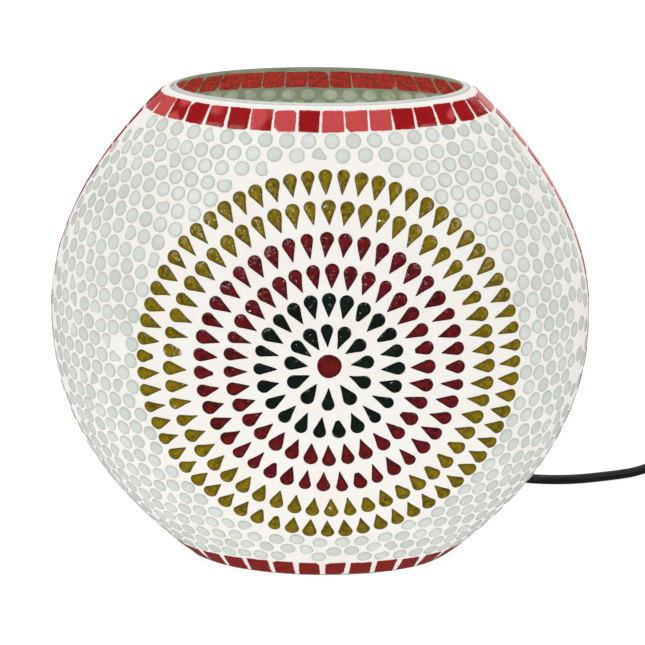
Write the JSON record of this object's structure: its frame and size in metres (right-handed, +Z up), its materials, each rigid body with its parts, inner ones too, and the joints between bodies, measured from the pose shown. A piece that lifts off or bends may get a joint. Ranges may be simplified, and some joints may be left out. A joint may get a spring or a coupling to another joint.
{
  "type": "mosaic glass table lamp",
  "caption": "Flattened globe table lamp of blown glass, covered with pearl beads, radiating coloured glass drops and red tiles set in white grout, open at the top, with a black cord.",
  "frame": {"origin": "centre of the foot, on the surface the lamp stands on", "axes": "+Z up, front pattern towards -Y, +X to the lamp's right as seen from the front"},
  "size_m": [0.4667, 0.2562, 0.258],
  "materials": {
    "bowl_glass": "clear greenish blown glass",
    "grout": "matte off-white cement",
    "red_tile": "glossy deep red",
    "dark_red_glass": "glossy dark red",
    "dark_green_glass": "glossy near-black green",
    "olive_glass": "glossy olive",
    "pearl_glass": "milky, satin-gloss",
    "zinc_steel": "zinc plated",
    "black_rubber": "matte",
    "holder_plastic": "satin black",
    "porcelain": "glazed",
    "brass": "satin",
    "wire_insulation": "satin",
    "bulb_cap_metal": "satin",
    "bulb_insulation": "glossy black",
    "bulb_glass": "clear",
    "filament": "dull",
    "cord_sheath": "satin black",
    "tie_plastic": "satin",
    "switch_plastic": "satin black"
  },
  "bodies": {
    "root": {"back_beads": "pearl_glass", "back_centre_dot": "dark_red_glass", "back_drops_ring_1": "dark_green_glass", "back_drops_ring_2": "dark_green_glass", "back_drops_ring_3": "dark_red_glass", "back_drops_ring_4": "dark_red_glass", "back_drops_ring_5": "olive_glass", "back_drops_ring_6": "olive_glass", "base_bolt": "zinc_steel", "base_nut": "zinc_steel", "base_tiles": "red_tile", "centre_contact": "brass", "coil_tie": "tie_plastic", "cord_bush": "black_rubber", "cord_coil": "cord_sheath", "cord_inside": "cord_sheath", "cord_to_coil": "cord_sheath", "cord_to_plug": "cord_sheath", "cord_to_switch": "cord_sheath", "front_beads": "pearl_glass", "front_centre_dot": "dark_red_glass", "front_drops_ring_1": "dark_green_glass", "front_drops_ring_2": "dark_green_glass", "front_drops_ring_3": "dark_red_glass", "front_drops_ring_4": "dark_red_glass", "front_drops_ring_5": "olive_glass", "front_drops_ring_6": "olive_glass", "glass_bowl": "bowl_glass", "grout_bed": "grout", "holder_bracket": "zinc_steel", "holder_cap": "holder_plastic", "holder_insert": "porcelain", "holder_skirt": "holder_plastic", "holder_wire_left": "wire_insulation", "holder_wire_right": "wire_insulation", "lock_nut": "zinc_steel", "plug_body": "switch_plastic", "plug_pins": "brass", "rim_tiles": "red_tile", "rocker_pin": "zinc_steel", "rubber_washer_below": "black_rubber", "rubber_washer_inside": "black_rubber", "screw_shell": "brass", "seam_tiles_left": "red_tile", "seam_tiles_right": "red_tile", "steel_washer": "zinc_steel", "switch_base": "switch_plastic", "switch_contacts": "brass", "switch_cover": "switch_plastic", "switch_screws": "zinc_steel", "switch_wires": "wire_insulation", "terminal_blocks": "brass", "threaded_nipple": "zinc_steel"},
    "rocker": {"switch_rocker": "switch_plastic"},
    "bulb_foot": {"bulb_tip": "bulb_cap_metal"},
    "bulb": {"bulb_insulator": "bulb_insulation", "bulb_screw_cap": "bulb_cap_metal", "bulb_globe": "bulb_glass", "bulb_stem": "bulb_glass", "bulb_filament": "filament"}
  },
  "joints": [
    {"name": "switch_rocker_tilt", "type": "hinge", "parent": "root", "child": "rocker", "pos_m": [0.232, 0.145, 0.013], "axis": [-0.2419, 0.9703, 0], "range_deg": [0, 16]},
    {"name": "bulb_rise", "type": "slide", "parent": "root", "child": "bulb_foot", "axis": [0, 0, 1], "range_m": [0, 0.0091]},
    {"name": "bulb_turn", "type": "hinge", "parent": "bulb_foot", "child": "bulb", "pos_m": [0, 0, 0.1], "axis": [0, 0, 1], "range_deg": [0, 900]}
  ],
  "couplings": [
    {"joint": "bulb_rise", "follows": "bulb_turn", "m_per_rad": 0.00057614}
  ]
}
